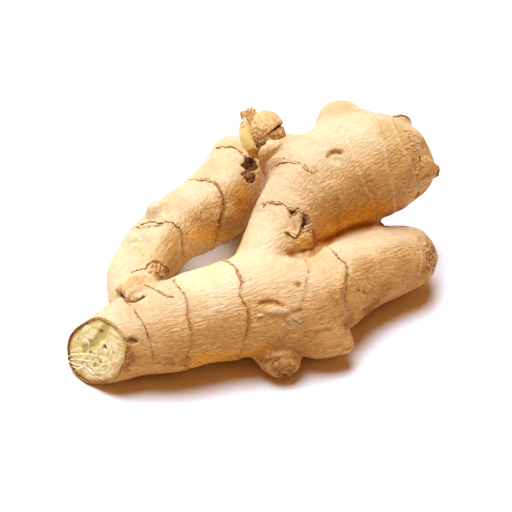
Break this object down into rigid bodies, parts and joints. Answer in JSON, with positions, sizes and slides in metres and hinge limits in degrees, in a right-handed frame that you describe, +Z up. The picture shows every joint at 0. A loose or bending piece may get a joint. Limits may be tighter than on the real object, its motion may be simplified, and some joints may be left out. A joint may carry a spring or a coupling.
{
  "type": "ginger root",
  "caption": "Fresh ginger root: a knobbly tan rhizome with blunt branching fingers, ringed leaf scars, a scaly bud and a pale fibrous knife-cut end.",
  "frame": {"origin": "middle of the root's footprint, on the surface that it lies on", "axes": "+X along the front hand, from the cut end towards the right finger; +Y back, towards the upper lobe and the left finger's tip; +Z up"},
  "size_m": [0.1468, 0.1348, 0.0654],
  "materials": {
    "skin": "matt, finely wrinkled",
    "flesh": "moist, fibrous",
    "husk": "dry, papery"
  },
  "bodies": {
    "root": {"rhizome": "skin"}
  },
  "joints": []
}
